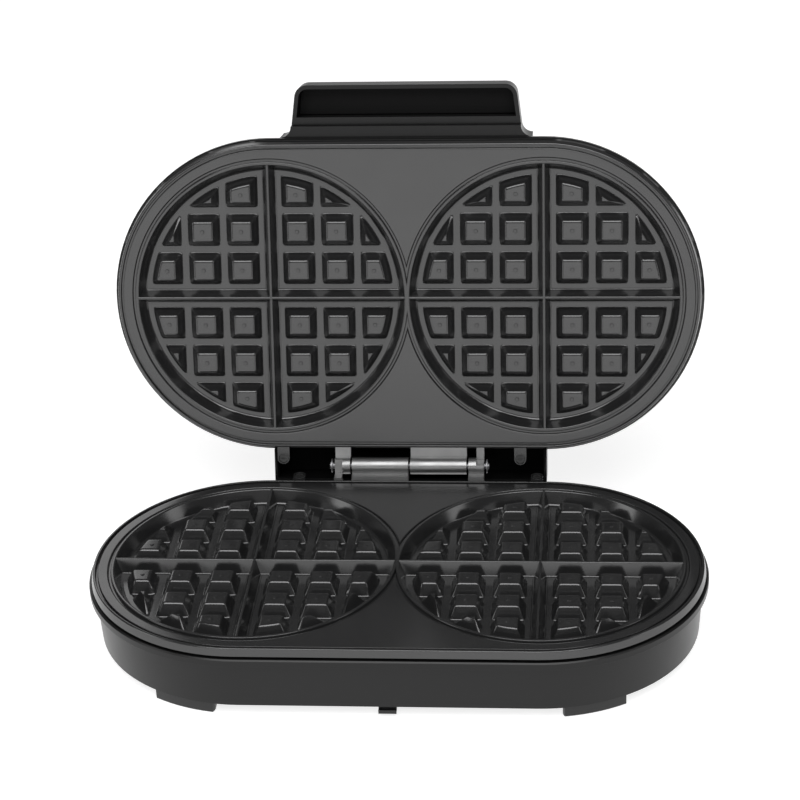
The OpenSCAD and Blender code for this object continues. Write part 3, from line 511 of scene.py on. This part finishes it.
def loftLoops(work, loops):
    for lower, upper in zip(loops, loops[1:]):
        joinLoops(work, lower, upper)


def fillBetween(work, *loops):
    edges = []
    for loop in loops:
        for index, vertex in enumerate(loop):
            after = loop[(index + 1) % len(loop)]
            edge = work.edges.get((vertex, after)) or work.edges.new((vertex, after))
            edges.append(edge)
    bmesh.ops.triangle_fill(work, edges=edges, use_beauty=True)


def roundedCorner(start, corner, end, radius, steps):
    # points of a curve that leaves the line start-corner and joins the line corner-end
    start, corner, end = Vector(start), Vector(corner), Vector(end)
    first = corner + (start - corner).normalized() * radius
    last = corner + (end - corner).normalized() * radius
    points = []
    for step in range(steps + 1):
        t = step / steps
        points.append(tuple(first * (1 - t) ** 2 + corner * 2 * t * (1 - t) + last * t ** 2))
    return points


def roundedProfile(points, radii, steps=3):
    # an (r, z) outline with its inner corners rounded
    profile = [points[0]]
    for before, corner, after, radius in zip(points, points[1:], points[2:], radii):
        profile += roundedCorner(before, corner, after, radius, steps) if radius else [corner]
    return profile + [points[-1]]


def plateDish(work, size):
    pitch, half = size["wellPitch"], size["wellPitch"] / 2
    # lip, groove and edge of the flat
    profile = roundedProfile(
        [(size["underRadius"], -size["underDepth"]), (size["underRadius"], size["lipBottom"]),
         (size["lipOuter"], size["lipBottom"]),
         (size["lipOuter"] - size["lipLean"], size["lipTop"]), (size["lipInner"], size["lipTop"]),
         (size["lipInner"], -size["grooveDepth"]), (size["flatRadius"], -size["grooveDepth"]),
         (size["flatRadius"], 0), (size["flatRadius"] - 1.5, 0)],
        [0, 0.5, 0.7, 0.35, 0.4, 0.4, 0.35])
    loops = [addLoop(work, ringOutline(r, pitch, 72), z) for r, z in profile]
    loftLoops(work, loops)
    work.faces.new(loops[0][::-1])
    flatEdge = loops[-1]
    # step around both beads
    profile = roundedProfile(
        [(size["stepOuter"] + 1.2, 0), (size["stepOuter"], 0), (size["stepOuter"] - 0.4, -size["stepDepth"]),
         (size["stepOuter"] - 1.0, -size["stepDepth"])], [0.4, 0.3])
    loops = [addLoop(work, twinOutline(r, pitch, 120), z) for r, z in profile]
    loftLoops(work, loops)
    fillBetween(work, flatEdge, loops[0])
    stepFloor = loops[-1]
    profile = roundedProfile(
        [(size["beadRadius"] + 0.6, -size["stepDepth"]), (size["beadRadius"] + 0.3, -size["stepDepth"]),
         (size["beadRadius"], size["beadHeight"]), (size["beadRadius"] - 0.45, size["beadHeight"])],
        [0.2, 0.4])
    loops = [addLoop(work, twinOutline(r, pitch, 120), z) for r, z in profile]
    loftLoops(work, loops)
    fillBetween(work, stepFloor, loops[0])
    beadTop = loops[-1]
    # wells
    lean = size["wellSlope"] / size["wellDepth"]
    rim = size["wellRadius"] + lean * size["beadHeight"]
    floor = size["wellRadius"] - size["wellSlope"]
    rims = []
    for side in (-1, 1):
        profile = roundedProfile(
            [(rim + 0.7, size["beadHeight"]), (rim, size["beadHeight"]), (floor, -size["wellDepth"]),
             (floor - 4, -size["wellDepth"])], [0.6, 1.5], steps=4)
        loops = [addLoop(work, circleOutline(side * half, r, 144), z) for r, z in profile]
        loftLoops(work, loops)
        work.faces.new(loops[-1])
        rims.append(loops[0])
    fillBetween(work, beadTop, *rims)


def padBaseHalf(size):
    return size["padTop"] / 2 + size["padSlope"]


def padClip(size):
    # radius of the circle that trims the pads at their foot
    return size["wellRadius"] - size["wellSlope"] - size["rimLane"]


def isSmallPad(centre, size):
    # a corner pad, of which the circle leaves only a small piece
    return min(abs(c) for c in centre) > size["padFirst"] + 5 and math.hypot(*centre) > padClip(size) - 5


def padOutline(centre, halfWidth, clip, sharpness, count=56, grid=17):
    # a square with soft corners, trimmed by a circle around the well
    low = [c - halfWidth for c in centre]
    high = [c + halfWidth for c in centre]
    steps = [2 * halfWidth * (index + 0.5) / grid for index in range(grid)]
    square = [(low[0] + a, low[1] + b) for a in steps for b in steps]
    inside = [point for point in square if math.hypot(*point) < clip]
    mx, my = (sum(p[axis] for p in inside) / len(inside) for axis in (0, 1))
    outline = []
    for step in range(count):
        angle = 2 * math.pi * (step + 0.5) / count
        dx, dy = math.cos(angle), math.sin(angle)
        along = mx * dx + my * dy
        limits = [((high if d > 0 else low)[axis] - (mx, my)[axis]) / d for axis, d in enumerate((dx, dy))]
        limits.append(-along + math.sqrt(along * along + clip * clip - mx * mx - my * my))
        reach = sum(limit ** -sharpness for limit in limits) ** (-1 / sharpness)
        outline.append((mx + dx * reach, my + dy * reach))
    return outline


def padShape(work, centre, offset, size):
    depth, slope = size["wellDepth"], size["padSlope"]
    baseHalf, baseClip = padBaseHalf(size), padClip(size)
    edge = 0.35 if isSmallPad(centre, size) else size["padEdge"]
    profile = roundedProfile(
        [(-size["padFoot"] - 0.4, -depth), (0, -depth), (slope, 0), (slope + edge * 1.4, 0)],
        [size["padFoot"], edge], steps=4)
    loops = []
    for inset, height in profile:
        outline = padOutline(centre, baseHalf - inset, baseClip - inset, size["padCorner"])
        sunk = height - 0.02 if inset < 0 else height
        loops.append(addLoop(work, [(x + offset, y) for x, y in outline], sunk))
    loftLoops(work, loops)
    work.faces.new(loops[-1])
    bottom = addLoop(work, [(v.co.x, v.co.y) for v in loops[0]], -depth - 0.6)
    joinLoops(work, bottom, loops[0])
    work.faces.new(bottom[::-1])


def barShape(work, offset, alongX, size):
    # one bar of the cross, with soft ridge and foot
    depth, top, base, rise = size["wellDepth"], size["barTop"] / 2, size["barBase"] / 2, size["beadHeight"]
    side = roundedProfile([(base + 1.0, -depth), (base, -depth), (top, rise), (0, rise)], [0.8, 0.6], steps=4)
    section = side + [(-w, h) for w, h in side[-2::-1]]
    section += [(-base - 1.0, -depth - 0.5), (base + 1.0, -depth - 0.5)]
    reach = size["wellRadius"] + 0.4
    ends = []
    for end in (-reach, reach):
        if alongX:
            ends.append([work.verts.new((offset + end, w, h)) for w, h in section])
        else:
            ends.append([work.verts.new((offset - w, end, h)) for w, h in section])
    joinLoops(work, *ends)
    work.faces.new(ends[0][::-1])
    work.faces.new(ends[1])


def padCentres(size):
    # middles of the pads of one well; the outermost corners of the grid have none
    rows = [side * (size["padFirst"] + index * size["padPitch"]) for side in (-1, 1) for index in range(3)]
    baseHalf, clip = padBaseHalf(size), padClip(size)
    return [(x, y) for x in rows for y in rows if math.hypot(abs(x) - baseHalf, abs(y) - baseHalf) < clip - 4]


def cleanMesh(work, mesh):
    bmesh.ops.recalc_face_normals(work, faces=work.faces)
    for face in work.faces:
        face.smooth = True
    work.to_mesh(mesh)
    work.free()


def markTree(name):
    # a small round ejector mark on each given point
    tree = bpy.data.node_groups.new(name, "GeometryNodeTree")
    sockets = {}
    tree.interface.new_socket("Geometry", in_out="INPUT", socket_type="NodeSocketGeometry")
    for label, kind, value in (("Radius", "NodeSocketFloat", 1.0), ("Height", "NodeSocketFloat", 0.1),
                               ("Taper", "NodeSocketFloat", 0.8), ("Sides", "NodeSocketInt", 20),
                               ("Finish", "NodeSocketMaterial", None)):
        socket = tree.interface.new_socket(label, in_out="INPUT", socket_type=kind)
        if value is not None:
            socket.default_value = value
        sockets[label] = socket.identifier
    tree.interface.new_socket("Geometry", in_out="OUTPUT", socket_type="NodeSocketGeometry")
    entry, leave = tree.nodes.new("NodeGroupInput"), tree.nodes.new("NodeGroupOutput")
    link = tree.links.new
    ring = tree.nodes.new("GeometryNodeMeshCone")
    link(entry.outputs["Sides"], ring.inputs["Vertices"])
    link(entry.outputs["Radius"], ring.inputs["Radius Bottom"])
    top = tree.nodes.new("ShaderNodeMath")
    top.operation = "MULTIPLY"
    link(entry.outputs["Radius"], top.inputs[0])
    link(entry.outputs["Taper"], top.inputs[1])
    link(top.outputs[0], ring.inputs["Radius Top"])
    link(entry.outputs["Height"], ring.inputs["Depth"])
    place = tree.nodes.new("GeometryNodeInstanceOnPoints")
    link(entry.outputs["Geometry"], place.inputs["Points"])
    link(ring.outputs["Mesh"], place.inputs["Instance"])
    real = tree.nodes.new("GeometryNodeRealizeInstances")
    link(place.outputs["Instances"], real.inputs["Geometry"])
    coat = tree.nodes.new("GeometryNodeSetMaterial")
    link(real.outputs["Geometry"], coat.inputs["Geometry"])
    link(entry.outputs["Finish"], coat.inputs["Material"])
    link(coat.outputs["Geometry"], leave.inputs["Geometry"])
    return tree, sockets


def growOnPoints(points, tree, sockets, values, name):
    cloud = bpy.data.meshes.new(name)
    cloud.from_pydata(points, [], [])
    holder = bpy.data.objects.new(name, cloud)
    bpy.context.collection.objects.link(holder)
    modifier = holder.modifiers.new("grow", "NODES")
    modifier.node_group = tree
    for label, value in values.items():
        modifier[sockets[label]] = value
    graph = bpy.context.evaluated_depsgraph_get()
    result = bpy.data.meshes.new_from_object(holder.evaluated_get(graph))
    bpy.data.objects.remove(holder)
    return result


def markPoints(size):
    # every pad but the small corner ones carries a mark, drawn in a little on the outer pads
    points = []
    for side in (-1, 1):
        for x, y in padCentres(size):
            if isSmallPad((x, y), size):
                continue
            inward = 0.98 if math.hypot(x, y) > padClip(size) - 10 else 1
            points.append((side * size["wellPitch"] / 2 + x * inward, y * inward, 0.0))
    return [Vector(point) * mm for point in points]


def hingeLugs(nodeName, placement, cut):
    # the knuckles, webs and ears behind the plate, from the cast part
    mesh = frame["nodes"][nodeName].data.copy()
    mesh.transform(placement.inverted())
    work = bmesh.new()
    work.from_mesh(mesh)
    bmesh.ops.remove_doubles(work, verts=work.verts, dist=2e-6)
    bmesh.ops.bisect_plane(work, geom=work.verts[:] + work.edges[:] + work.faces[:],
                           plane_co=(0, cut * mm, 0), plane_no=(0, 1, 0), clear_inner=True)
    bmesh.ops.holes_fill(work, edges=[edge for edge in work.edges if edge.is_boundary])
    bmesh.ops.dissolve_limit(work, angle_limit=math.radians(0.5), verts=work.verts, edges=work.edges)
    for face in work.faces:
        face.smooth = True
    if mesh.has_custom_normals:
        mesh.attributes.remove(mesh.attributes["custom_normal"])
    work.to_mesh(mesh)
    work.free()
    return mesh


def bakedMesh(mesh, bevelWidth=0.0, sharp=40.0, steps=2, least=30.0):
    # rounds edges, evens the normals over flats and returns a plain mesh
    source = bpy.data.objects.new(mesh.name, mesh)
    bpy.context.collection.objects.link(source)
    if bevelWidth:
        bevel = source.modifiers.new("round", "BEVEL")
        bevel.width = bevelWidth * mm
        bevel.segments = steps
        bevel.limit_method = "ANGLE"
        bevel.angle_limit = math.radians(least)
        bevel.miter_outer = "MITER_ARC"
    source.modifiers.new("triangles", "TRIANGULATE")
    mesh.set_sharp_from_angle(angle=math.radians(sharp))
    shade = source.modifiers.new("even", "WEIGHTED_NORMAL")
    shade.keep_sharp = True
    result = bpy.data.meshes.new_from_object(source.evaluated_get(bpy.context.evaluated_depsgraph_get()))
    bpy.data.objects.remove(source)
    return result


def setMaterials(mesh, materials, choose=None):
    mesh.materials.clear()
    for material in materials:
        mesh.materials.append(material)
    for polygon in mesh.polygons:
        polygon.material_index = choose(polygon.center) if choose else 0


def joinMeshes(name, meshes):
    # joins meshes into one object, keeping each one's normals and materials
    parts = []
    for mesh in meshes:
        part = bpy.data.objects.new(name, mesh)
        bpy.context.collection.objects.link(part)
        parts.append(part)
    with bpy.context.temp_override(active_object=parts[0], object=parts[0], selected_objects=parts,
                                   selected_editable_objects=parts):
        bpy.ops.object.join()
    parts[0].name = name
    return parts[0]


onBase = Matrix.Translation((0, 0, flatHeight))
onLid = lidSwing @ Matrix.Translation((0, 0, flatHeight + plateGap * mm)) @ Matrix.Rotation(math.pi, 4, "Y")
marks, markSockets = markTree("ejectorMarks")


def makePlate(nodeName, placement):
    work = bmesh.new()
    plateDish(work, plate)
    for side in (-1, 1):
        offset = side * plate["wellPitch"] / 2
        for centre in padCentres(plate):
            padShape(work, centre, offset, plate)
        barShape(work, offset, True, plate)
        barShape(work, offset, False, plate)
    bmesh.ops.scale(work, vec=(mm, mm, mm), verts=work.verts)
    bmesh.ops.remove_doubles(work, verts=work.verts, dist=1e-7)
    dish = bpy.data.meshes.new(nodeName + "Dish")
    cleanMesh(work, dish)
    dish = bakedMesh(dish)
    studs = growOnPoints(markPoints(plate), marks, markSockets,
                         {"Radius": plate["markRadius"] * mm, "Height": plate["markHeight"] * mm,
                          "Taper": plate["markTaper"], "Sides": 24, "Finish": nonStickCoat}, "marks")
    lugs = hingeLugs(nodeName, placement, plate["lipOuter"] - plate["lugCut"])
    lugs = bakedMesh(lugs, bevelWidth=plate["lugEdge"])
    setMaterials(dish, [nonStickCoat])
    setMaterials(studs, [nonStickCoat])
    # the knuckles are bare metal, the ears beside them are coated
    reach = plate["knuckleReach"] * mm
    setMaterials(lugs, [nonStickCoat, castMetal], lambda centre: 1 if abs(centre.x) < reach else 0)
    for mesh in (dish, studs, lugs):
        mesh.transform(placement)
    piece = joinMeshes(nodeName + "Cast", [dish, studs, lugs])
    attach(piece, bodyOf(nodeName))
    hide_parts(nodeName)
    print("plate", nodeName, len(piece.data.polygons), "triangles")


makePlate("lower_plate", onBase)
makePlate("upper_plate", onLid)
